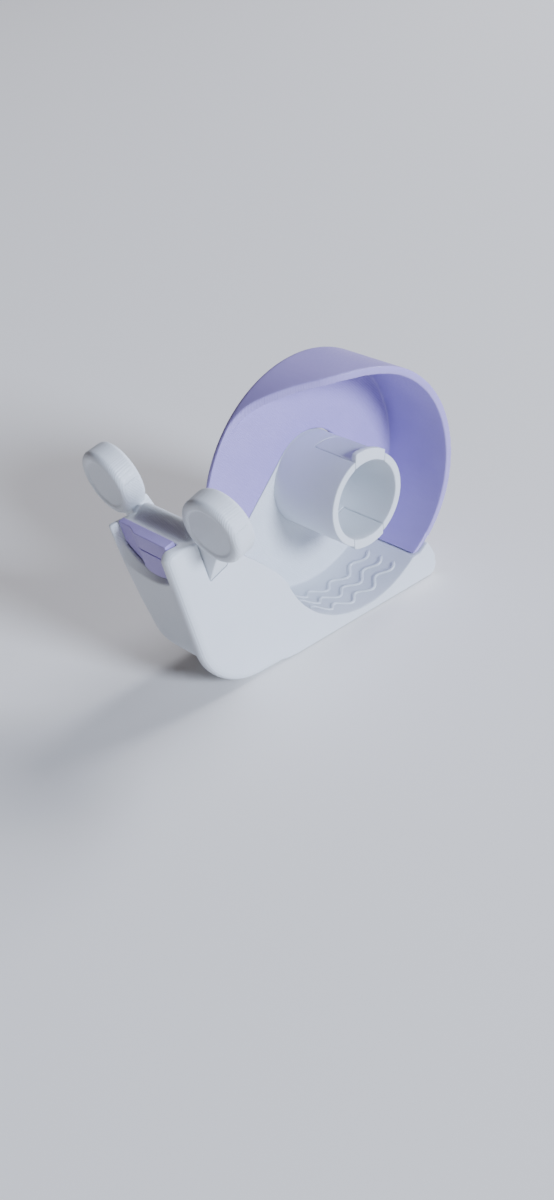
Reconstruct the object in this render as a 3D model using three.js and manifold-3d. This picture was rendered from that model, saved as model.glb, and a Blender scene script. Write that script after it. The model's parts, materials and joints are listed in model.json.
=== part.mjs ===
// A snail-shaped desk tape dispenser, printed in white and lilac PLA.
// Millimetres, +Z up. X runs along the snail, its head towards -X. The open side faces -Y.
// The outlines below are drawn in side view, as (x, z) about the foot of the hub's axis,
// and the finished group is moved so that its origin is the middle of its footprint.

import * as THREE from 'three';
import { mergeVertices } from 'three/addons/utils/BufferGeometryUtils.js';
import Module from 'manifold-3d';

const wasm = await Module();
wasm.setup();

// ---- driving dimensions ----

const WIDTH = 23; // across the body, without the eyes
const NEAR = -WIDTH / 2; // the open side
const FAR = WIDTH / 2; // the closed side
const BACK_WALL = 2;
const WALL_FRONT = FAR - BACK_WALL; // the face that the roll runs against
const GAP = 0.3; // between pieces that are fitted together

const HUB_HEIGHT = 32.66; // axis above the table
const HUB_OUTER = 12.5; // fits the 25.4 mm core of a small roll
const HUB_INNER = 10.5;
const HUB_HOLE = 12.9; // the shell's cut-out around the hub

const FINGER_LENGTH = 14; // from the hub's open end
const FINGER_HALF_WIDTH = 5.1;
const FINGER_LIP_LENGTH = 1.6;
// Degrees round the hub's axis, and the round of the lip with how far its centre is shifted.
const TOP_FINGER = { angle: 82, lip: 12.85, shift: 1.5 };
const BOTTOM_FINGER = { angle: -89, lip: 13.1, shift: 0 };

const TROUGH = { x: -1.2, z: 31.6, r: 29.4 }; // the hollow under the roll
const FRONT_SLOPE = 0.2459; // the face leans back this much for each millimetre down
const FACE_TOP = { x: -64.6, z: 42.8 };
const FACE_LEAN = Math.atan(FRONT_SLOPE);
const FACE_ROUND = 2.3; // the top front corner, in side view
const NOSE = { x: -39.2, z: 19, r: 19 }; // the curve from the face to the underside
const PAD_HEIGHT = 44.5; // flat behind the mouth
const CHIN_HEIGHT = 6.4;
const CHIN_ROUND = 7;
const CHEEK = 3; // the thicker edge of the near side
const CHEEK_ROUND = 2;
const BROW_ROUND = 2.4;
const FACE_STEP = 1.5; // the face lies this far behind the cheek's edge

const MOUTH = { y: -0.5, z: 44.4, r: 12.1 }; // the smile, where it meets the cutter
const MOUTH_FRONT = { y: 1.8, rise: 3, r: 16.4 }; // the wider smile at the front of the face
const LIP = 1.4; // depth of the sloping edge round the smile
const HOLE_END = 3.8; // depth at which the hole widens for the cutter's flange
const CUTTER_THICKNESS = 2.8;
const CUTTER_BOTTOM = -13.6; // below the mouth's centre, along the face

const EYE = { x: -55.05, y: 18.5, z: 51, r: 8.6, thickness: 6.3 };
const EYE_TILT = THREE.MathUtils.degToRad(14.1); // leaning forwards
const EYE_SPLAY = THREE.MathUtils.degToRad(3.8);
const STALK_LEAN = THREE.MathUtils.degToRad(30);
const STALK = { width: 5.5, thickness: 5.4, back: 1.1, from: 7.2, to: 21.5 };

const SHELL_RISE = 0.75; // growth of the spiral's radius for each radian
const SHELL_RADIUS = 33.1; // behind the hub, at its height
const SHELL_WALL = 2;
const SHELL_FOOT = 8.75; // height of the rim's lower end
const SEAM_ANGLE = THREE.MathUtils.degToRad(203); // where the seam meets the rim
const FOOT_ANGLE = THREE.MathUtils.degToRad(-54.1);
const RIGHT_SEAM = THREE.MathUtils.degToRad(-48);

const CURVE = 16; // divisions of each curved stretch
const ROUND = 60; // divisions of a full turn

// ---- solids ----

// A closed geometry as a solid that can be joined and cut.
function solid(geometry) {
  const bare = geometry.clone();
  bare.deleteAttribute('normal');
  bare.deleteAttribute('uv');
  const merged = mergeVertices(bare, 1e-5);
  const corners = merged.index.array;
  const triangles = [];
  for (let i = 0; i < corners.length; i += 3) {
    const [a, b, c] = corners.slice(i, i + 3);
    if (a !== b && b !== c && c !== a) triangles.push(a, b, c);
  }
  return new wasm.Manifold(new wasm.Mesh({
    numProp: 3,
    vertProperties: Float32Array.from(merged.attributes.position.array),
    triVerts: Uint32Array.from(triangles),
  }));
}

// A solid as a geometry for a mesh.
function geometryOf(piece) {
  const { vertProperties, triVerts } = piece.getMesh();
  const geometry = new THREE.BufferGeometry();
  geometry.setAttribute('position', new THREE.BufferAttribute(vertProperties, 3));
  geometry.setIndex(new THREE.BufferAttribute(triVerts, 1));
  geometry.computeVertexNormals();
  return geometry;
}

// A side-view shape made solid across the width, from y0 to y1.
function across(shape, y0, y1) {
  const geometry = new THREE.ExtrudeGeometry(shape, {
    depth: y1 - y0,
    bevelEnabled: false,
    curveSegments: CURVE,
  });
  geometry.rotateX(Math.PI / 2);
  geometry.translate(0, y1, 0);
  return solid(geometry);
}

// The same, with both end edges rounded inwards.
function acrossRounded(shape, y0, y1, radius) {
  const geometry = new THREE.ExtrudeGeometry(shape, {
    depth: y1 - y0 - 2 * radius,
    bevelThickness: radius,
    bevelSize: radius,
    bevelOffset: -radius,
    bevelSegments: 4,
    curveSegments: CURVE,
  });
  geometry.rotateX(Math.PI / 2);
  geometry.translate(0, y1 - radius, 0);
  return solid(geometry);
}

// A plan-view shape made solid from the height z0 to z1.
function upwards(shape, z0, z1) {
  const geometry = new THREE.ExtrudeGeometry(shape, {
    depth: z1 - z0,
    bevelEnabled: false,
    curveSegments: CURVE,
  });
  geometry.translate(0, 0, z0);
  return solid(geometry);
}

// A ring about the hub's axis.
function hubRing(outer, inner, y0, y1) {
  const ring = new THREE.Shape();
  ring.absarc(0, HUB_HEIGHT, outer, 0, 2 * Math.PI);
  const bore = new THREE.Path();
  bore.absarc(0, HUB_HEIGHT, inner, 0, 2 * Math.PI);
  ring.holes.push(bore);
  const geometry = new THREE.ExtrudeGeometry(ring, {
    depth: y1 - y0,
    bevelEnabled: false,
    curveSegments: ROUND,
  });
  geometry.rotateX(Math.PI / 2);
  geometry.translate(0, y1, 0);
  return solid(geometry);
}

// A solid through a stack of rings with equal numbers of points. Each ring runs
// anticlockwise as seen from the stack's last ring, and its last point sees all the others.
function loft(rings) {
  const count = rings[0].length;
  const last = count - 1;
  const end = (rings.length - 1) * count;
  const index = [];
  for (let ring = 0; ring + 1 < rings.length; ring += 1) {
    for (let i = 0; i < count; i += 1) {
      const a = ring * count + i;
      const b = ring * count + ((i + 1) % count);
      index.push(a, b, b + count, a, b + count, a + count);
    }
  }
  for (let i = 0; i + 1 < last; i += 1) {
    index.push(last, i + 1, i);
    index.push(end + last, end + i, end + i + 1);
  }
  const geometry = new THREE.BufferGeometry().setFromPoints(rings.flat());
  geometry.setIndex(index);
  return solid(geometry);
}

// A block given by its lowest and highest corners.
function block(low, high) {
  const geometry = new THREE.BoxGeometry(high[0] - low[0], high[1] - low[1], high[2] - low[2]);
  geometry.translate((low[0] + high[0]) / 2, (low[1] + high[1]) / 2, (low[2] + high[2]) / 2);
  return solid(geometry);
}

// A named mesh in one of the two plastics.
function piece(name, geometry, plastic) {
  const mesh = new THREE.Mesh(geometry, new THREE.MeshStandardMaterial(plastic));
  mesh.name = name;
  return mesh;
}

const WHITE_PLA = { color: 0xe4e9ee, roughness: 0.45, metalness: 0 };
const LILAC_PLA = { color: 0xa9a5d6, roughness: 0.42, metalness: 0 };

// ---- the shell's spiral ----

// The rim's outer radius. It grows evenly over the top and tucks in towards its foot.
function outerRadius(angle) {
  if (angle > 0) return SHELL_RADIUS + SHELL_RISE * angle;
  return SHELL_RADIUS + 0.6 * angle - 2.2 * angle * angle;
}

// The rim's inner radius. The wall thins towards the foot.
function innerRadius(angle) {
  const wall = angle > 0 ? SHELL_WALL : SHELL_WALL - 1.16 * angle * angle;
  return outerRadius(angle) - wall;
}

function aboutHub(radius, angle) {
  return new THREE.Vector2(radius * Math.cos(angle), HUB_HEIGHT + radius * Math.sin(angle));
}

function spiralPoints(radiusAt, from, to, steps) {
  return Array.from({ length: steps + 1 }, (_, i) => {
    const angle = from + ((to - from) * i) / steps;
    return aboutHub(radiusAt(angle), angle);
  });
}

// The shell's back plate in side view: a spiral disc with a slot for the hub and its tongue.
// grow widens it on every side, for the clearance around it.
function plateShape(grow) {
  const hole = HUB_HOLE - grow;
  const outer = spiralPoints((a) => outerRadius(a) + grow, FOOT_ANGLE, SEAM_ANGLE, 64);
  const seamStart = aboutHub(hole, (3 * Math.PI) / 4);
  const rimEnd = outer[outer.length - 1];
  const seamDrop = rimEnd.x - seamStart.x;
  const shape = new THREE.Shape();
  const rightStart = aboutHub(hole, RIGHT_SEAM);
  shape.moveTo(rightStart.x, rightStart.y);
  const foot = aboutHub(innerRadius(FOOT_ANGLE), FOOT_ANGLE);
  shape.lineTo(foot.x - 2 * grow, SHELL_FOOT - grow);
  for (const point of outer) {
    if (point.y > SHELL_FOOT - grow) shape.lineTo(point.x, point.y);
  }
  shape.lineTo(rimEnd.x, seamStart.y + seamDrop);
  shape.lineTo(seamStart.x, seamStart.y);
  shape.absarc(0, HUB_HEIGHT, hole, (3 * Math.PI) / 4, RIGHT_SEAM, true);
  return shape;
}

// ---- shell ----

function makeShell() {
  const plate = across(plateShape(0), WALL_FRONT, FAR);

  const rim = new THREE.Shape(spiralPoints(outerRadius, FOOT_ANGLE - 0.05, SEAM_ANGLE - 0.05, 64)
    .concat(spiralPoints(innerRadius, SEAM_ANGLE - 0.05, FOOT_ANGLE - 0.05, 64)));
  const belowFoot = block([-5, NEAR - 5, -5], [40, FAR + 5, SHELL_FOOT]);

  // The rim's near edge runs along the open side and then slants back to the plate.
  const slant = new THREE.Shape();
  slant.moveTo(60, NEAR - 30);
  slant.lineTo(60, NEAR + 0.3);
  slant.lineTo(8, NEAR + 0.7);
  slant.bezierCurveTo(1, NEAR + 1.9, -4, NEAR + 3.4, -8.1, NEAR + 6.8);
  slant.lineTo(-18.2, NEAR + 16.8);
  slant.bezierCurveTo(-21, NEAR + 19.6, -23.5, NEAR + 20.9, -27.5, NEAR + 21.1);
  slant.lineTo(-60, NEAR + 21.1);
  slant.lineTo(-60, NEAR - 30);

  const outline = new THREE.Shape(spiralPoints(outerRadius, FOOT_ANGLE - 0.3, SEAM_ANGLE + 0.2, 80));
  const softBack = acrossRounded(outline, NEAR - 10, FAR, 1.5);

  return across(rim, NEAR, FAR - 0.5)
    .subtract(belowFoot)
    .subtract(upwards(slant, -10, 90))
    .add(plate)
    .intersect(softBack);
}

// ---- body ----

// Where the face lies at a height, at the cheek's edge.
function faceX(z) {
  return FACE_TOP.x + (FACE_TOP.z - z) * FRONT_SLOPE;
}

// The rounded corner between the top of the head and the face, and the face down to the nose's arc.
function addFace(shape, step) {
  const corner = { x: faceX(PAD_HEIGHT) + step, z: PAD_HEIGHT };
  const half = (Math.PI / 2 + FACE_LEAN) / 2;
  const centre = { x: corner.x + FACE_ROUND * Math.tan(half), z: corner.z - FACE_ROUND };
  shape.absarc(centre.x, centre.z, FACE_ROUND, Math.PI / 2, Math.PI + FACE_LEAN, false);
  shape.absarc(NOSE.x, NOSE.z, NOSE.r - step, Math.PI + FACE_LEAN, 1.5 * Math.PI, false);
}

// The snail's side view. step sets the face back from the cheek's edge.
function sideShape(step) {
  const shape = new THREE.Shape();
  shape.moveTo(NOSE.x, step);
  shape.lineTo(NOSE.x, 0);
  shape.lineTo(23.9, 0);
  shape.quadraticCurveTo(26.2, 0.3, 26.1, 3);
  shape.quadraticCurveTo(26, 5.6, 24.5, 8.1);
  const lip = spiralPoints((a) => outerRadius(a) + GAP, -0.77, -0.88, 4);
  for (const point of lip) shape.lineTo(point.x, point.y);
  shape.lineTo(lip[4].x, SHELL_FOOT - GAP);
  const rise = Math.asin((SHELL_FOOT - GAP - TROUGH.z) / TROUGH.r);
  shape.absarc(TROUGH.x, TROUGH.z, TROUGH.r, rise, -Math.PI + 0.353, true);
  shape.bezierCurveTo(-30.5, 25, -35.5, 29.9, -42, 35);
  shape.lineTo(-49.2, 43);
  shape.quadraticCurveTo(-50.6, PAD_HEIGHT, -53.5, PAD_HEIGHT);
  addFace(shape, step);
  return shape;
}

// The near side: a plate that stands out past the face as the snail's cheek.
function makeCheek() {
  return across(sideShape(0), NEAR, NEAR + CHEEK);
}

// The room that the head and foot keep to, whose near edge is softly rounded in front.
function softFront() {
  const soft = new THREE.Shape();
  soft.moveTo(40, -12);
  soft.lineTo(40, 90);
  soft.lineTo(-46, 90);
  soft.lineTo(-56, 46);
  addFace(soft, 0);
  soft.lineTo(-32, -0.2);
  soft.lineTo(-20, -6);
  return acrossRounded(soft, NEAR, NEAR + 30, CHEEK_ROUND);
}

// The head as a bucket: level sections stacked up, whose far front corner is rounder lower down
// and which draw in all round at the chin.
function makeHead() {
  const levels = [];
  for (let i = 0; i <= 8; i += 1) {
    const turn = (i / 8) * (Math.PI / 2);
    const z = CHIN_HEIGHT + CHIN_ROUND * (1 - Math.cos(turn));
    levels.push({ z, inset: CHIN_ROUND * (1 - Math.sin(turn)) });
  }
  for (let z = 22; z <= 52; z += 6) levels.push({ z, inset: 0 });

  const arcSteps = 8;
  const rings = levels.map(({ z, inset }) => {
    const low = Math.max(0, (PAD_HEIGHT - z) / (PAD_HEIGHT - CHIN_HEIGHT));
    const fade = 1 - (0.65 * inset) / CHIN_ROUND;
    const farRound = (0.5 + 8 * low * low) * fade;
    const nearRound = (0.5 + 5 * low * low) * fade;
    const front = faceX(z) + FACE_STEP + inset;
    const near = NEAR + 1 + inset;
    const far = FAR - inset;
    const ring = [new THREE.Vector3(-34, near, z), new THREE.Vector3(-34, far, z)];
    for (let i = 0; i <= arcSteps; i += 1) {
      const a = Math.PI / 2 + ((i / arcSteps) * Math.PI) / 2;
      const x = front + farRound * (1 + Math.cos(a));
      ring.push(new THREE.Vector3(x, far - farRound * (1 - Math.sin(a)), z));
    }
    for (let i = 0; i <= arcSteps; i += 1) {
      const a = Math.PI + ((i / arcSteps) * Math.PI) / 2;
      const x = front + nearRound * (1 + Math.cos(a));
      ring.push(new THREE.Vector3(x, near + nearRound * (1 + Math.sin(a)), z));
    }
    return ring;
  });
  return loft(rings).intersect(across(sideShape(0), NEAR, FAR));
}

// The brow: a ridge across the top of the head that sinks away before it reaches the eyes.
function makeBrow() {
  const ridge = new THREE.Path();
  ridge.moveTo(-59, 44.4);
  ridge.bezierCurveTo(-57, 44.6, -56.2, 46.2, -54.8, 47.2);
  ridge.bezierCurveTo(-53.2, 48.3, -51.8, 45.8, -48.2, 40.8);
  const profile = ridge.getPoints(10);
  const base = 40;
  const ends = 7;
  const rings = [];
  for (let i = 0; i <= 2 * ends; i += 1) {
    const side = i <= ends ? -1 : 1;
    const turn = ((i <= ends ? i : 2 * ends - i) / ends) * (Math.PI / 2);
    const y = side * (FAR - 1.4 - BROW_ROUND * (1 - Math.cos(turn)));
    const sink = BROW_ROUND * (1 - Math.sin(turn));
    const ring = profile.map((p) => new THREE.Vector3(p.x, y, Math.max(p.y - sink, base + 0.01)));
    ring.push(new THREE.Vector3(-50, y, base));
    rings.push(ring);
  }
  return loft(rings);
}

// The foot and trough, whose front end curves away under the chin.
function makeFoot() {
  const plan = new THREE.Shape();
  plan.moveTo(40, NEAR + 1);
  plan.lineTo(40, FAR);
  plan.lineTo(-30, FAR);
  plan.absellipse(-30, NEAR + 1, 13.6, WIDTH - 1, Math.PI / 2, Math.PI, false);
  return across(sideShape(FACE_STEP), NEAR, FAR).intersect(upwards(plan, -1, 60));
}

// Directions of the sloping face: up along it, across it and into the head.
const FACE_UP = new THREE.Vector3(-FRONT_SLOPE, 0, 1).normalize();
const FACE_ALONG = new THREE.Vector3(0, 1, 0);
const FACE_IN = new THREE.Vector3().crossVectors(FACE_ALONG, FACE_UP);

// A point given by its depth behind the cheek's edge, its y and its height above the mouth's
// centre, measured along the face.
function onFace(depth, y, height) {
  return new THREE.Vector3(faceX(MOUTH.z), y, MOUTH.z)
    .addScaledVector(FACE_IN, depth)
    .addScaledVector(FACE_UP, height);
}

// A shape drawn on the face, its x along +Y and its y up the face, and made solid into the head.
function intoFace(shape, from, to) {
  const geometry = new THREE.ExtrudeGeometry(shape, {
    depth: to - from,
    bevelEnabled: false,
    curveSegments: CURVE,
  });
  const place = new THREE.Matrix4().makeBasis(FACE_ALONG, FACE_UP, FACE_IN);
  geometry.applyMatrix4(place.setPosition(onFace(from, 0, 0)));
  return solid(geometry);
}

// A shape drawn across the face, its x into the head and its y along +Y, and made solid up the face.
function upFace(shape, from, to) {
  const geometry = new THREE.ExtrudeGeometry(shape, {
    depth: to - from,
    bevelEnabled: false,
    curveSegments: CURVE,
  });
  const place = new THREE.Matrix4().makeBasis(FACE_IN, FACE_ALONG, FACE_UP);
  geometry.applyMatrix4(place.setPosition(onFace(0, 0, from)));
  return solid(geometry);
}

const CUTTER_FRONT = FACE_STEP + 1; // depth behind the cheek's edge
const CUTTER_NEAR = NEAR + CHEEK + 0.3;
const CUTTER_FAR = FAR - 1.7;

// The smile's sloping edge: the wide half circle at the front drawn in to the narrower one behind.
function smile() {
  const steps = 24;
  const near = NEAR + CHEEK;
  const front = { ...MOUTH_FRONT, far: FAR - 0.9 };
  const hole = { ...MOUTH, rise: 0, far: FAR - 1.3 };
  const layers = [
    { depth: -3, ...front },
    { depth: FACE_STEP, ...front },
    { depth: FACE_STEP + LIP, ...hole },
    { depth: HOLE_END + 0.3, ...hole },
  ];
  return loft(layers.map(({ depth, y, rise, r, far }) => {
    const ring = [];
    for (let i = 0; i <= steps; i += 1) {
      const across = near + ((far - near) * i) / steps;
      const drop = Math.sqrt(Math.max(r * r - (across - y) ** 2, 0));
      ring.push(onFace(depth, across, rise - drop));
    }
    ring.push(onFace(depth, far, 9), onFace(depth, near, 9));
    return ring;
  }));
}

// The cutter's outline on the face, up to the height top. grow makes the pocket around it.
function cutterOutline(grow, top) {
  const near = CUTTER_NEAR - grow;
  const far = CUTTER_FAR + grow;
  const low = CUTTER_BOTTOM - grow;
  const corner = 5;
  const shape = new THREE.Shape();
  shape.moveTo(near, top);
  shape.lineTo(near, low + corner);
  shape.quadraticCurveTo(near, low, near + corner, low);
  shape.lineTo(far - corner, low);
  shape.quadraticCurveTo(far, low, far, low + corner);
  shape.lineTo(far, top);
  return shape;
}

function eyeMatrix(side) {
  const turn = new THREE.Matrix4().makeRotationZ(-side * EYE_SPLAY);
  turn.multiply(new THREE.Matrix4().makeRotationY(-EYE_TILT));
  return turn.setPosition(EYE.x, side * EYE.y, EYE.z);
}

// The stalk as a bar from inside the eye's rim down into the head. grow makes its socket.
function stalkBar(side, grow) {
  const length = STALK.to - STALK.from + grow;
  const bar = new THREE.BoxGeometry(STALK.thickness + 2 * grow, STALK.width + 2 * grow, length);
  bar.translate(STALK.back, 0, -STALK.from - length / 2);
  bar.rotateX(-side * STALK_LEAN);
  return bar;
}

function eyeSocket(side) {
  return solid(stalkBar(side, GAP).applyMatrix4(eyeMatrix(side)));
}

function makeBody() {
  const wall = new THREE.Shape();
  wall.absarc(TROUGH.x, TROUGH.z, TROUGH.r + 0.3, 0, 2 * Math.PI);
  const backWall = across(wall, WALL_FRONT, FAR);
  const shellSeat = across(plateShape(GAP), WALL_FRONT - GAP, FAR + 1);
  const pocketBack = CUTTER_FRONT + CUTTER_THICKNESS + GAP;
  const cutterPocket = intoFace(cutterOutline(GAP, 9), HOLE_END, pocketBack);

  return makeCheek()
    .add(makeHead())
    .add(makeFoot())
    .intersect(softFront())
    .add(makeBrow())
    .add(backWall)
    .subtract(shellSeat)
    .subtract(smile())
    .subtract(cutterPocket)
    .subtract(eyeSocket(-1))
    .subtract(eyeSocket(1));
}

// ---- cutter insert ----

// The block that stands in the mouth. Its front steps back in a smooth S near the far end.
function makeCutter() {
  const step = 1.1;
  const plan = new THREE.Shape();
  plan.moveTo(CUTTER_FRONT, CUTTER_NEAR);
  plan.lineTo(CUTTER_FRONT + CUTTER_THICKNESS, CUTTER_NEAR);
  plan.lineTo(CUTTER_FRONT + CUTTER_THICKNESS, FAR);
  plan.lineTo(CUTTER_FRONT + step, FAR);
  plan.lineTo(CUTTER_FRONT + step, 6.2);
  plan.bezierCurveTo(CUTTER_FRONT + step, 4.4, CUTTER_FRONT, 4.2, CUTTER_FRONT, 2);
  const groove = intoFace(grooveShape(), CUTTER_FRONT - 1, CUTTER_FRONT + 0.4);
  const shoulder = HOLE_END + GAP;
  const shown = intoFace(frontOutline(), CUTTER_FRONT - 1, shoulder + 0.5);
  const hidden = intoFace(cutterOutline(0, 9), shoulder, CUTTER_FRONT + CUTTER_THICKNESS + 1);
  return upFace(plan, CUTTER_BOTTOM - 1, -0.2)
    .intersect(shown.add(hidden))
    .subtract(groove);
}

// The part of the cutter that shows through the smile, with clearance to the smile's edge.
function frontOutline() {
  const r = MOUTH.r - GAP;
  const near = CUTTER_NEAR;
  const far = FAR - 1.6;
  const shape = new THREE.Shape();
  shape.moveTo(far, 3);
  shape.lineTo(near, 3);
  shape.absarc(MOUTH.y, 0, r, -Math.acos((near - MOUTH.y) / r), -Math.acos((far - MOUTH.y) / r), false);
  return shape;
}

// The fine line across the front of the cutter.
function grooveShape() {
  const shape = new THREE.Shape();
  shape.moveTo(CUTTER_NEAR - 1, -5.15);
  shape.lineTo(8.4, -5.15);
  shape.lineTo(8.4, -4.8);
  shape.lineTo(CUTTER_NEAR - 1, -4.8);
  return shape;
}

// ---- hub ----

// A bar over one finger, its sides parallel to the finger's middle line. from and to are
// measured along the hub from its open end.
function fingerBar(angle, halfWidth, from, to) {
  const bar = new THREE.BoxGeometry(2 * halfWidth, to - from, 20);
  bar.translate(0, (from + to) / 2, 10);
  bar.rotateY(Math.PI / 2 - angle);
  bar.translate(0, NEAR, HUB_HEIGHT);
  return solid(bar);
}

function makeHub() {
  let hub = hubRing(HUB_OUTER, HUB_INNER, NEAR, WALL_FRONT - GAP);
  for (const finger of [TOP_FINGER, BOTTOM_FINGER]) {
    const angle = THREE.MathUtils.degToRad(finger.angle);
    hub = hub.subtract(fingerBar(angle, FINGER_HALF_WIDTH + GAP, -1, FINGER_LENGTH + GAP));
  }
  return hub;
}

function makeFinger({ angle, lip, shift }) {
  const turn = THREE.MathUtils.degToRad(angle);
  const away = turn + THREE.MathUtils.degToRad(48);
  const stem = hubRing(HUB_OUTER, HUB_INNER, NEAR, NEAR + FINGER_LENGTH);
  const catchRing = hubRing(lip, lip - 1.85, NEAR, NEAR + FINGER_LIP_LENGTH)
    .translate([shift * Math.cos(away), 0, shift * Math.sin(away)]);
  return stem.add(catchRing).intersect(fingerBar(turn, FINGER_HALF_WIDTH, 0, FINGER_LENGTH));
}

// ---- eyes ----

function makeEye(side) {
  const half = EYE.thickness / 2;
  const frontRound = 1.5;
  const backRound = 1.2;
  const profile = new THREE.Path();
  profile.moveTo(0, -half);
  profile.lineTo(EYE.r - backRound, -half);
  profile.absarc(EYE.r - backRound, -half + backRound, backRound, -Math.PI / 2, 0, false);
  profile.absarc(EYE.r - frontRound, half - frontRound, frontRound, 0, Math.PI / 2, false);
  profile.lineTo(6.6, half);
  profile.lineTo(6.1, half - 0.35);
  profile.lineTo(0, half - 0.35);
  const disc = new THREE.LatheGeometry(profile.getPoints(4), 40);
  disc.rotateZ(Math.PI / 2);
  return solid(disc).add(solid(stalkBar(side, 0)));
}

// ---- the dispenser ----

const dispenser = new THREE.Group();
dispenser.add(piece('body', geometryOf(makeBody()), WHITE_PLA));
dispenser.add(piece('tape_hub', geometryOf(makeHub()), WHITE_PLA));
dispenser.add(piece('hub_finger_top', geometryOf(makeFinger(TOP_FINGER)), WHITE_PLA));
dispenser.add(piece('hub_finger_bottom', geometryOf(makeFinger(BOTTOM_FINGER)), WHITE_PLA));
dispenser.add(piece('shell', geometryOf(makeShell()), LILAC_PLA));
dispenser.add(piece('cutter_insert', geometryOf(makeCutter()), LILAC_PLA));
for (const [name, side] of [['eye_near', -1], ['eye_far', 1]]) {
  const eye = piece(name, geometryOf(makeEye(side)), WHITE_PLA);
  eye.applyMatrix4(eyeMatrix(side));
  dispenser.add(eye);
}

const middle = new THREE.Box3().setFromObject(dispenser).getCenter(new THREE.Vector3());
dispenser.position.x = -middle.x;

export default dispenser;
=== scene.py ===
"""Looks for a snail-shaped desk tape dispenser printed in white and lilac PLA.

Laid out as an add-on: property groups with the sizes and the colours, one operator for each
group of printed pieces, one for the studio, and a panel that lists them. The scene is in metres,
and the measures below are in the unit that their heading names.
"""

import json
import math

import bmesh
import bpy
from mathutils import Matrix, Quaternion, Vector

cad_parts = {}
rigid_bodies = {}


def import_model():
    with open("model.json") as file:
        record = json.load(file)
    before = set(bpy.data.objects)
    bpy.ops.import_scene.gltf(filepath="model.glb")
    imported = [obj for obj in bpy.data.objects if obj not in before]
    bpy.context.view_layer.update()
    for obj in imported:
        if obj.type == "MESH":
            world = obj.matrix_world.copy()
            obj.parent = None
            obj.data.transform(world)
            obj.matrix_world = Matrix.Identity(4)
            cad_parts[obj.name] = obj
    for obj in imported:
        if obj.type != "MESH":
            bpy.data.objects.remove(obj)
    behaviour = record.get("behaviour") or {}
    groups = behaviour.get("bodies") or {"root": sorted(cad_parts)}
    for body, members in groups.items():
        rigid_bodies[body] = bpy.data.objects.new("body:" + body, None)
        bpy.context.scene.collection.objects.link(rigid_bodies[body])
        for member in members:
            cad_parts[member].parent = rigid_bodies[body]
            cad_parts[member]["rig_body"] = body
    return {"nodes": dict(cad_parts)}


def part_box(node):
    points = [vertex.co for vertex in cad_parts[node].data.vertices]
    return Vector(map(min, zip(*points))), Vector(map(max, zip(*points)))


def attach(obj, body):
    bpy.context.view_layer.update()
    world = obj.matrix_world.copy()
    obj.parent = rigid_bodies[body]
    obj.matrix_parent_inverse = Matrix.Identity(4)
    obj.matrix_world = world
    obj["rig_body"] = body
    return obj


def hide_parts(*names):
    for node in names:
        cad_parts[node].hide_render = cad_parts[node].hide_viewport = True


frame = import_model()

bl_info = {
    "name": "Snail Tape Dispenser Looks",
    "version": (1, 0, 0),
    "blender": (4, 5, 0),
    "location": "3D View > Sidebar > Dispenser",
    "description": "Builds the printed pieces of a small desk tape dispenser, and a studio",
    "category": "Object",
}

MM = 0.001

# ---- the dispenser's own measures, in millimetres ----

HUB_CENTRE = (15.64, 32.66)  # the spindle's axis, as x and height
TOP_FINGER_ANGLE = 82  # degrees round the spindle's axis, upwards from the tail side
BOTTOM_FINGER_ANGLE = -89
FINGER_HALF_WIDTH = 5.1
FINGER_SPREAD = 0.24  # how far each side of a finger reaches into its slit
FINGER_ROOT = 13.5  # points of a finger deeper than this, from the open side, are its root
ROOT_REACH = 0.15  # how far the root runs on into the spindle
OPEN_SIDE = -11.5  # y of the near side
WALL_FRONT = 9.5  # y of the back wall's inner face
SPINDLE_END = 0.5  # the spindle's last points stand within this of the back wall
SPINDLE_REACH = 0.6  # how far the spindle runs into the back wall

EYE_CENTRE = (-39.41, 18.5, 51.0)  # x, distance from the middle plane, height
EYE_RADIUS = 8.6
EYE_THICKNESS = 6.3
EYE_TILT = math.radians(14.1)
EYE_SPLAY = math.radians(3.8)
STALK_LEAN = math.radians(30)
STALK_MIDDLE = 1.1  # the stalk's middle, from the disc's middle plane
STALK_BARE = 2.5  # the stalk shows this far out of the disc before its pressed-in part
STALK_END = 21  # points further down the stalk than this are its end
SOCKET_GAP = 0.26  # clearance left round a stalk in its socket

SEAM_ANGLE = math.radians(15)  # up from the open side, round the disc
SEAM_MARGIN = 1.3  # the ridge stops this short of the disc's faces
SEAM_HEIGHT = 0.22
SEAM_SINK = 0.05  # its line lies this far under the rim
SEAM_POINTS = 12

TROUGH_CENTRE = (14.44, 31.6)
TROUGH_RADIUS = 29.4
WAVE_ROWS = 3
WAVE_POINTS = 97
WAVE_FROM = -122  # degrees round the trough's axis
WAVE_SWEEP = 64
WAVE_FIRST_ROW = -6.4  # y of the row nearest the open side
WAVE_ROW_SPACING = 4.6
WAVE_SWING = 1.3
WAVE_REPEAT = 24  # points in one wave
WAVE_WIDTH = 1.1

# ---- the printed surface, in millimetres ----

BANDS_REPEAT = 2 * math.pi / 20  # a wave texture's bands repeat this often at scale 1
LUMP_SPACING = 0.6
CLOUD_SIZE = 8
RELIEF_DEPTH = 0.09  # from the top of a layer line or bead to the groove beside it
COARSE_FROM, COARSE_TO = 4, 7  # y over which the top layers turn from ironed to coarse

WHITE = "white PLA, FDM printed, satin"
LILAC = "lilac PLA, FDM printed, satin"
WHITE_MOTTLE = "#DDE2E8"
LILAC_MOTTLE = "#A798D7"

# ---- the soft edges ----

SMOOTH_ROUNDS = 5
FACES_KEPT = 0.35  # share of the grid's faces left after smoothing
CUTTER_GRID = 0.7  # the cutter's grid, as a share of the fine one
BEAD_SECTIONS = 7
BEAD_SINK = 0.25  # share of its height that a raised bead lies under the surface
BEAD_END = 0.35  # a bead tapers over two points, and its last stands at half this of its height

# ---- the studio, in metres ----

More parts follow.
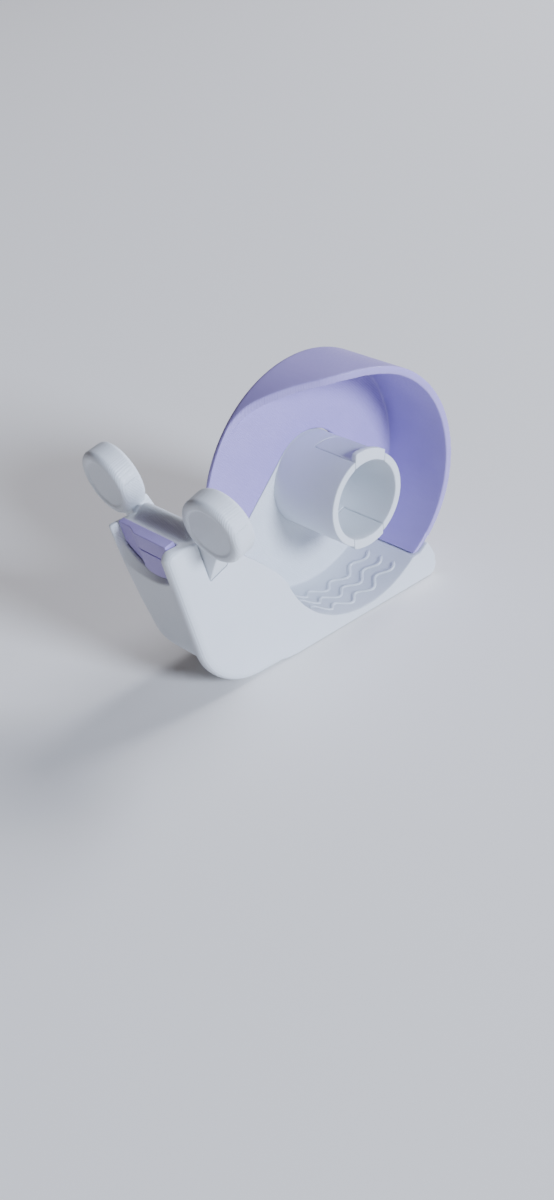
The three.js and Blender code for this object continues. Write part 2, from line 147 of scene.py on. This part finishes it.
FLOOR_HALF_SIZE = 8.0
FLOOR_DROP = 0.0002  # keeps the floor just clear of the underside
STIPPLE_SPACING = 1.5 * MM
LIGHT_TARGET = (0.0, 0.0, 0.03)
CAMERA_PLACE = (-0.2154, -0.2328, 0.20095)
CAMERA_TARGET = (-0.0011, 0.0066, 0.0037)
CAMERA_ROLL = math.radians(-4.10)
CAMERA_LENS = 42.92  # millimetres


# ---- sizes and colours that a user would change ----


class DispenserPrintSettings(bpy.types.PropertyGroup):
    """How the pieces were printed."""

    edge_softness: bpy.props.FloatProperty(
        name="Edge Softness",
        description="Size of the grid the soft printed edges are built on",
        default=0.28 * MM,
        min=0.15 * MM,
        max=1.0 * MM,
        unit="LENGTH",
        precision=5,
    )
    fine_edge_softness: bpy.props.FloatProperty(
        name="Fine Edge Softness",
        description="The same, for the small pieces",
        default=0.2 * MM,
        min=0.1 * MM,
        max=1.0 * MM,
        unit="LENGTH",
        precision=5,
    )
    layer_height: bpy.props.FloatProperty(
        name="Layer Height",
        description="Distance between printed layers, drawn coarser than the real 0.2 mm to show",
        default=0.45 * MM,
        min=0.1 * MM,
        max=1.0 * MM,
        unit="LENGTH",
        precision=5,
    )
    bead_width: bpy.props.FloatProperty(
        name="Bead Width",
        description="Width of the beads of plastic side by side in a top layer",
        default=0.55 * MM,
        min=0.2 * MM,
        max=1.5 * MM,
        unit="LENGTH",
        precision=5,
    )
    seam_width: bpy.props.FloatProperty(
        name="Seam Width",
        description="Width of the ridge left where each layer of an eye starts and ends",
        default=0.45 * MM,
        min=0.1 * MM,
        max=1.5 * MM,
        unit="LENGTH",
        precision=5,
    )
    wave_height: bpy.props.FloatProperty(
        name="Wave Height",
        description="How far the raised wave line stands out of the trough",
        default=0.5 * MM,
        min=0.1 * MM,
        max=1.5 * MM,
        unit="LENGTH",
        precision=5,
    )


class DispenserColourSettings(bpy.types.PropertyGroup):
    """Colours of the two filaments and of the studio floor."""

    white: bpy.props.StringProperty(
        name="White PLA",
        description="sRGB hex colour of the white filament",
        default="#E4E8EC",
    )
    lilac: bpy.props.StringProperty(
        name="Lilac PLA",
        description="sRGB hex colour of the lilac filament",
        default="#B1A2DE",
    )
    floor: bpy.props.StringProperty(
        name="Floor",
        description="sRGB hex colour of the studio floor",
        default="#F5F2EE",
    )


# ---- colour and nodes ----


def linear(hex_colour):
    """A linear RGBA colour from an sRGB hex value."""
    channels = [int(hex_colour[i:i + 2], 16) / 255 for i in (1, 3, 5)]
    light = [c / 12.92 if c <= 0.04045 else ((c + 0.055) / 1.055) ** 2.4 for c in channels]
    return tuple(light) + (1.0,)


def add_node(tree, kind, settings=None, values=None, links=None):
    """Adds one node, with its attributes, its inputs' values and the sources its inputs link to."""
    node = tree.nodes.new(kind)
    for name, value in (settings or {}).items():
        setattr(node, name, value)
    for name, value in (values or {}).items():
        node.inputs[name].default_value = value
    for name, source in (links or {}).items():
        tree.links.new(source, node.inputs[name])
    return node


def printed_pla(name, colour, mottle, roughness, relief, settings):
    """Fused-filament PLA: layer lines round the sides, and side-by-side beads in top layers.

    The pieces were printed lying on their far side, so the layers stack up along Y and the faces
    that look along Y are top layers. mottle is the colour of the pigment's uneven patches, and
    relief is how strongly the lines and beads stand out.
    """
    material = bpy.data.materials.new(name)
    material.use_nodes = True
    tree = material.node_tree
    tree.nodes.clear()
    place = add_node(tree, "ShaderNodeTexCoord")
    split_normal = add_node(
        tree, "ShaderNodeSeparateXYZ", links={"Vector": place.outputs["Normal"]})
    facing = add_node(
        tree, "ShaderNodeMath", {"operation": "ABSOLUTE"}, links={0: split_normal.outputs["Y"]})
    top_layer = add_node(
        tree, "ShaderNodeMapRange", {"interpolation_type": "SMOOTHSTEP"},
        {"From Min": 0.9, "From Max": 0.985}, {"Value": facing.outputs[0]})

    # Layer lines, one layer height apart.
    layers = add_node(
        tree, "ShaderNodeTexWave",
        {"wave_type": "BANDS", "bands_direction": "Y", "wave_profile": "SIN"},
        {"Scale": BANDS_REPEAT / settings.layer_height, "Distortion": 0.25, "Detail": 1.0,
         "Detail Scale": 0.4},
        {"Vector": place.outputs["Object"]})

    # Top-layer beads lie at 45 degrees.
    turned = add_node(
        tree, "ShaderNodeMapping", {}, {"Rotation": (0.0, math.radians(45), 0.0)},
        {"Vector": place.outputs["Object"]})
    beads = add_node(
        tree, "ShaderNodeTexWave",
        {"wave_type": "BANDS", "bands_direction": "X", "wave_profile": "SIN"},
        {"Scale": BANDS_REPEAT / settings.bead_width, "Distortion": 1.2, "Detail": 2.0,
         "Detail Scale": 1.5},
        {"Vector": turned.outputs["Vector"]})
    # Small lumps where a bead starts and stops.
    lumps = add_node(
        tree, "ShaderNodeTexNoise", {},
        {"Scale": 1 / (LUMP_SPACING * MM), "Detail": 2.0, "Roughness": 0.6},
        {"Vector": place.outputs["Object"]})
    bead_and_lump = add_node(
        tree, "ShaderNodeMath", {"operation": "MULTIPLY_ADD"}, {1: 0.55},
        {0: beads.outputs["Fac"], 2: lumps.outputs["Fac"]})
    # The back wall's inner face is the coarsest top layer; the near side is ironed nearly smooth.
    depth = add_node(tree, "ShaderNodeSeparateXYZ", links={"Vector": place.outputs["Object"]})
    coarse = add_node(
        tree, "ShaderNodeMapRange", {},
        {"From Min": COARSE_FROM * MM, "From Max": COARSE_TO * MM, "To Min": 0.2, "To Max": 1.8},
        {"Value": depth.outputs["Y"]})
    top_height = add_node(
        tree, "ShaderNodeMath", {"operation": "MULTIPLY"}, {},
        {0: bead_and_lump.outputs[0], 1: coarse.outputs["Result"]})
    side_height = add_node(
        tree, "ShaderNodeMath", {"operation": "MULTIPLY_ADD"}, {1: 0.5},
        {0: lumps.outputs["Fac"], 2: layers.outputs["Fac"]})
    height = add_node(
        tree, "ShaderNodeMix", {"data_type": "FLOAT"}, {},
        {"Factor": top_layer.outputs["Result"], "A": side_height.outputs[0],
         "B": top_height.outputs[0]})
    bump = add_node(
        tree, "ShaderNodeBump", {}, {"Strength": relief, "Distance": RELIEF_DEPTH * MM},
        {"Height": height.outputs["Result"]})

    # The filament's pigment is faintly uneven.
    cloud = add_node(
        tree, "ShaderNodeTexNoise", {}, {"Scale": 1 / (CLOUD_SIZE * MM), "Detail": 3.0},
        {"Vector": place.outputs["Object"]})
    tint = add_node(
        tree, "ShaderNodeMix", {"data_type": "RGBA", "blend_type": "MIX"},
        {"A": linear(colour), "B": linear(mottle)}, {"Factor": cloud.outputs["Fac"]})

    # The skin comes out glossier in some spots than in others.
    sheen_range = add_node(
        tree, "ShaderNodeMapRange", {},
        {"From Min": 0.35, "From Max": 0.65, "To Min": roughness - 0.1, "To Max": roughness + 0.1},
        {"Value": lumps.outputs["Fac"]})
    # PLA lets a little light in under its skin.
    shader = add_node(
        tree, "ShaderNodeBsdfPrincipled", {},
        {"IOR": 1.46, "Metallic": 0.0, "Subsurface Weight": 0.08,
         "Subsurface Radius": (1.0, 0.9, 0.9), "Subsurface Scale": 1.0 * MM},
        {"Base Color": tint.outputs["Result"], "Roughness": sheen_range.outputs["Result"],
         "Normal": bump.outputs["Normal"]})
    add_node(tree, "ShaderNodeOutputMaterial", links={"Surface": shader.outputs["BSDF"]})
    return material


def filament(name):
    """The material of one of the two filaments, made once."""
    if name in bpy.data.materials:
        return bpy.data.materials[name]
    printing = bpy.context.scene.dispenser_print
    colours = bpy.context.scene.dispenser_colour
    if name == WHITE:
        # Cool white with a satin skin: broad soft highlights, and sparkle in the top layers.
        return printed_pla(name, colours.white, WHITE_MOTTLE, 0.44, 0.5, printing)
    # Lilac, a little glossier than the white and with slightly weaker layer lines.
    return printed_pla(name, colours.lilac, LILAC_MOTTLE, 0.40, 0.45, printing)


# ---- making pieces ----


def soft_print(node, name, grid, material, fit=None):
    """Makes a softly edged copy of a CAD node, as a nozzle leaves it, that stands for the node.

    fit moves points of the copy first, to close the clearance of a press fit. A copy with no fit
    is held inside its node's box.
    """
    source = frame["nodes"][node]
    piece = bpy.data.objects.new(name, source.data.copy())
    bpy.context.scene.collection.objects.link(piece)
    piece.data.materials.clear()
    if fit:
        for vertex in piece.data.vertices:
            vertex.co = fit(vertex.co)
    remesh = piece.modifiers.new("grid", "REMESH")
    remesh.mode = "VOXEL"
    remesh.voxel_size = grid
    remesh.adaptivity = 0.0
    smooth = piece.modifiers.new("soft edges", "SMOOTH")
    smooth.factor = 0.5
    smooth.iterations = SMOOTH_ROUNDS
    thin_out = piece.modifiers.new("fewer faces", "DECIMATE")
    thin_out.ratio = FACES_KEPT
    bake(piece)
    piece.data.materials.append(filament(material))
    piece.data.shade_smooth()
    if not fit:
        keep_in_box(piece, node)
    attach(piece, source["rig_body"])
    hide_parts(node)


def bake(piece):
    """Applies a piece's modifiers to its mesh."""
    bpy.context.view_layer.update()
    evaluated = piece.evaluated_get(bpy.context.evaluated_depsgraph_get())
    mesh = bpy.data.meshes.new_from_object(evaluated)
    piece.modifiers.clear()
    piece.data = mesh
    if not len(mesh.polygons):
        raise RuntimeError(piece.name + " came out with no faces")


def keep_in_box(piece, node):
    """Holds a piece's points inside its CAD node's box."""
    low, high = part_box(node)
    for vertex in piece.data.vertices:
        for axis in range(3):
            vertex.co[axis] = min(max(vertex.co[axis], low[axis]), high[axis])


def new_piece(name, builder, body, material):
    """Makes an object from a bmesh, riding on a body."""
    mesh = bpy.data.meshes.new(name)
    bmesh.ops.recalc_face_normals(builder, faces=builder.faces)
    builder.to_mesh(mesh)
    builder.free()
    mesh.materials.append(filament(material))
    mesh.shade_smooth()
    piece = bpy.data.objects.new(name, mesh)
    bpy.context.scene.collection.objects.link(piece)
    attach(piece, body)


def add_bead(builder, points, ups, width, height):
    """Adds a rounded raised bead along points. ups are the directions it stands up in."""
    rings = []
    for i, (point, up) in enumerate(zip(points, ups)):
        ahead = points[min(i + 1, len(points) - 1)] - points[max(i - 1, 0)]
        side = ahead.cross(up).normalized()
        taper = min(1.0, (min(i, len(points) - 1 - i) + BEAD_END) / 2)
        ring = []
        for k in range(BEAD_SECTIONS):
            a = math.pi * k / (BEAD_SECTIONS - 1)
            rise = math.sin(a) * height * taper - BEAD_SINK * height
            offset = side * (math.cos(a) * width / 2) + up * rise
            ring.append(builder.verts.new(point + offset))
        rings.append(ring)
    for first, second in zip(rings, rings[1:]):
        for k in range(BEAD_SECTIONS):
            j = (k + 1) % BEAD_SECTIONS
            builder.faces.new((first[k], first[j], second[j], second[k]))
    builder.faces.new(rings[0])
    builder.faces.new(list(reversed(rings[-1])))


# ---- operators ----


class DISPENSER_OT_body(bpy.types.Operator):
    """The white print: foot, trough, head and its part of the back wall"""

    bl_idname = "dispenser.body"
    bl_label = "Body"

    def execute(self, context):
        grid = context.scene.dispenser_print.edge_softness
        soft_print("body", "body_print", grid, WHITE)
        return {"FINISHED"}


class DISPENSER_OT_shell(bpy.types.Operator):
    """The lilac spiral shell"""

    bl_idname = "dispenser.shell"
    bl_label = "Shell"

    def execute(self, context):
        grid = context.scene.dispenser_print.edge_softness
        soft_print("shell", "shell_print", grid, LILAC)
        return {"FINISHED"}


def reach_wall(point):
    """The spindle is one print with the back wall, so its root runs into it."""
    if point.y > (WALL_FRONT - SPINDLE_END) * MM:
        return Vector((point.x, (WALL_FRONT + SPINDLE_REACH) * MM, point.z))
    return point


def widen_finger(angle):
    """Spreads a finger, so that the slits beside it are barely open, and sinks its root."""
    turn = math.radians(angle)
    side = Vector((math.sin(turn), 0, -math.cos(turn)))
    centre = Vector((HUB_CENTRE[0] * MM, 0, HUB_CENTRE[1] * MM))

    def fit(point):
        across = (point - centre).dot(side)
        root = ROOT_REACH * MM if point.y > (OPEN_SIDE + FINGER_ROOT) * MM else 0
        return point + side * across * (FINGER_SPREAD / FINGER_HALF_WIDTH) + Vector((0, root, 0))

    return fit


def fill_socket(place):
    """Fattens a stalk, which is pressed into its socket and fills it. place is the stalk's own."""
    back = place.inverted()

    def fit(point):
        local = back @ point
        if local.z < -(EYE_RADIUS + STALK_BARE) * MM:
            across = SOCKET_GAP if local.x > STALK_MIDDLE * MM else -SOCKET_GAP
            out = SOCKET_GAP if local.y > 0 else -SOCKET_GAP
            down = -SOCKET_GAP if local.z < -STALK_END * MM else 0
            return place @ (local + Vector((across, out, down)) * MM)
        return point

    return fit


class DISPENSER_OT_hub(bpy.types.Operator):
    """The hollow spindle and its two snap fingers"""

    bl_idname = "dispenser.hub"
    bl_label = "Spindle"

    def execute(self, context):
        grid = context.scene.dispenser_print.fine_edge_softness
        soft_print("tape_hub", "spindle_print", grid, WHITE, reach_wall)
        soft_print("hub_finger_top", "top_finger_print", grid, WHITE,
                   widen_finger(TOP_FINGER_ANGLE))
        soft_print("hub_finger_bottom", "bottom_finger_print", grid, WHITE,
                   widen_finger(BOTTOM_FINGER_ANGLE))
        return {"FINISHED"}


class DISPENSER_OT_cutter(bpy.types.Operator):
    """The lilac cutter block in the mouth, on the finest grid for its thin lips"""

    bl_idname = "dispenser.cutter"
    bl_label = "Cutter"

    def execute(self, context):
        grid = context.scene.dispenser_print.fine_edge_softness * CUTTER_GRID
        soft_print("cutter_insert", "cutter_print", grid, LILAC)
        return {"FINISHED"}


class DISPENSER_OT_eyes(bpy.types.Operator):
    """The two disc eyes, each with the ridge where its layers start and end"""

    bl_idname = "dispenser.eyes"
    bl_label = "Eyes"

    def execute(self, context):
        settings = context.scene.dispenser_print
        for node, side in (("eye_near", -1), ("eye_far", 1)):
            x, y, z = (v * MM for v in EYE_CENTRE)
            place = (
                Matrix.Translation((x, side * y, z)) @ Matrix.Rotation(-side * EYE_SPLAY, 4, "Z")
                @ Matrix.Rotation(-EYE_TILT, 4, "Y"))
            stalk = place @ Matrix.Rotation(-side * STALK_LEAN, 4, "X")
            soft_print(node, node + "_print", settings.fine_edge_softness, WHITE,
                       fill_socket(stalk))
            up = Vector((0, -math.cos(SEAM_ANGLE), math.sin(SEAM_ANGLE)))
            half = (EYE_THICKNESS / 2 - SEAM_MARGIN) * MM
            points = []
            ups = []
            for i in range(SEAM_POINTS):
                along = Vector((-half + 2 * half * i / (SEAM_POINTS - 1), 0, 0))
                points.append(place @ (up * (EYE_RADIUS - SEAM_SINK) * MM + along))
                ups.append((place.to_3x3() @ up).normalized())
            builder = bmesh.new()
            add_bead(builder, points, ups, settings.seam_width, SEAM_HEIGHT * MM)
            new_piece(node + "_seam", builder, "base", WHITE)
        return {"FINISHED"}


class DISPENSER_OT_waves(bpy.types.Operator):
    """A plain pattern of raised waves along the floor of the trough"""

    bl_idname = "dispenser.waves"
    bl_label = "Trough Waves"

    def execute(self, context):
        settings = context.scene.dispenser_print
        builder = bmesh.new()
        for row in range(WAVE_ROWS):
            points = []
            ups = []
            for i in range(WAVE_POINTS):
                turn = math.radians(WAVE_FROM + WAVE_SWEEP * i / (WAVE_POINTS - 1))
                swing = WAVE_SWING * math.sin(2 * math.pi * i / WAVE_REPEAT)
                y = (WAVE_FIRST_ROW + WAVE_ROW_SPACING * row + swing) * MM
                up = Vector((-math.cos(turn), 0, -math.sin(turn)))
                centre = Vector((TROUGH_CENTRE[0] * MM, y, TROUGH_CENTRE[1] * MM))
                points.append(centre - up * TROUGH_RADIUS * MM)
                ups.append(up)
            add_bead(builder, points, ups, WAVE_WIDTH * MM, settings.wave_height)
        new_piece("trough_waves", builder, "base", WHITE)
        return {"FINISHED"}


class DISPENSER_OT_stage(bpy.types.Operator):
    """Pale floor, soft studio light and the camera"""

    bl_idname = "dispenser.stage"
    bl_label = "Studio"

    def execute(self, context):
        add_floor(context.scene.dispenser_colour.floor)
        add_lights()
        add_camera()
        return {"FINISHED"}


def add_floor(colour):
    """A wide pale board of matt painted MDF."""
    builder = bmesh.new()
    bmesh.ops.create_grid(builder, x_segments=8, y_segments=8, size=FLOOR_HALF_SIZE)
    mesh = bpy.data.meshes.new("floor")
    builder.to_mesh(mesh)
    builder.free()
    floor = bpy.data.objects.new("floor", mesh)
    floor.location.z = -FLOOR_DROP
    bpy.context.scene.collection.objects.link(floor)
    material = bpy.data.materials.new("matt white painted board")
    material.use_nodes = True
    tree = material.node_tree
    tree.nodes.clear()
    place = add_node(tree, "ShaderNodeTexCoord")
    # Matt paint, rolled on: a faint stipple and no clear reflections.
    stipple = add_node(
        tree, "ShaderNodeTexNoise", {}, {"Scale": 1 / STIPPLE_SPACING},
        {"Vector": place.outputs["Object"]})
    bump = add_node(
        tree, "ShaderNodeBump", {}, {"Strength": 0.05, "Distance": 0.1 * MM},
        {"Height": stipple.outputs["Fac"]})
    shader = add_node(
        tree, "ShaderNodeBsdfPrincipled", {},
        {"Base Color": linear(colour), "Roughness": 0.8, "Specular IOR Level": 0.2},
        {"Normal": bump.outputs["Normal"]})
    add_node(tree, "ShaderNodeOutputMaterial", links={"Surface": shader.outputs["BSDF"]})
    mesh.materials.append(material)


def add_area_light(name, place, size, power, colour):
    """A round softbox aimed at the dispenser."""
    light = bpy.data.lights.new(name, "AREA")
    light.shape = "DISK"
    light.size = size
    light.energy = power
    light.color = linear(colour)[:3]
    lamp = bpy.data.objects.new(name, light)
    lamp.location = place
    aim = Vector(LIGHT_TARGET) - Vector(place)
    lamp.rotation_euler = aim.to_track_quat("-Z", "Y").to_euler()
    bpy.context.scene.collection.objects.link(lamp)


def add_lights():
    """A cool light low on the open side, a wider one on the tail side, and a dim warm room."""
    add_area_light(
        "open side softbox", (0.12, -2.3, 0.98), size=0.75, power=104.0, colour="#DAE7FF")
    add_area_light(
        "tail side softbox", (1.9, 0.0, 1.6), size=1.2, power=60.0, colour="#EAF0FF")
    world = bpy.data.worlds.new("pale room")
    world.use_nodes = True
    background = world.node_tree.nodes["Background"]
    background.inputs["Color"].default_value = linear("#FFE2D2")
    background.inputs["Strength"].default_value = 0.07
    bpy.context.scene.world = world


def add_camera():
    """The camera looks down on the head's near corner, turned a little about its own axis."""
    camera_data = bpy.data.cameras.new("camera")
    camera_data.lens = CAMERA_LENS
    camera_data.sensor_width = 36.0
    camera_data.sensor_fit = "AUTO"
    camera_data.clip_start = 0.01
    camera_data.clip_end = 20.0
    camera = bpy.data.objects.new("camera", camera_data)
    camera.location = CAMERA_PLACE
    aim = (Vector(CAMERA_TARGET) - Vector(CAMERA_PLACE)).to_track_quat("-Z", "Y")
    camera.rotation_mode = "QUATERNION"
    camera.rotation_quaternion = aim @ Quaternion((0, 0, 1), CAMERA_ROLL)
    bpy.context.scene.collection.objects.link(camera)
    bpy.context.scene.camera = camera


# ---- panel and registration ----


class DISPENSER_PT_sidebar(bpy.types.Panel):
    """Sizes, colours and the steps that build the dispenser"""

    bl_idname = "DISPENSER_PT_sidebar"
    bl_label = "Tape Dispenser"
    bl_space_type = "VIEW_3D"
    bl_region_type = "UI"
    bl_category = "Dispenser"

    def draw(self, context):
        for name in ("edge_softness", "fine_edge_softness", "layer_height", "bead_width",
                     "seam_width", "wave_height"):
            self.layout.prop(context.scene.dispenser_print, name)
        for name in ("white", "lilac", "floor"):
            self.layout.prop(context.scene.dispenser_colour, name)
        for operator in STEPS:
            self.layout.operator(operator.bl_idname)


STEPS = (
    DISPENSER_OT_body,
    DISPENSER_OT_shell,
    DISPENSER_OT_hub,
    DISPENSER_OT_cutter,
    DISPENSER_OT_eyes,
    DISPENSER_OT_waves,
    DISPENSER_OT_stage,
)
CLASSES = (DispenserPrintSettings, DispenserColourSettings) + STEPS + (DISPENSER_PT_sidebar,)


def register():
    for cls in CLASSES:
        bpy.utils.register_class(cls)
    bpy.types.Scene.dispenser_print = bpy.props.PointerProperty(type=DispenserPrintSettings)
    bpy.types.Scene.dispenser_colour = bpy.props.PointerProperty(type=DispenserColourSettings)


def unregister():
    del bpy.types.Scene.dispenser_colour
    del bpy.types.Scene.dispenser_print
    for cls in reversed(CLASSES):
        bpy.utils.unregister_class(cls)


def main():
    register()
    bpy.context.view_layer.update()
    bpy.ops.dispenser.body()
    bpy.ops.dispenser.shell()
    bpy.ops.dispenser.hub()
    bpy.ops.dispenser.cutter()
    bpy.ops.dispenser.eyes()
    bpy.ops.dispenser.waves()
    bpy.ops.dispenser.stage()


if __name__ == "__main__":
    main()
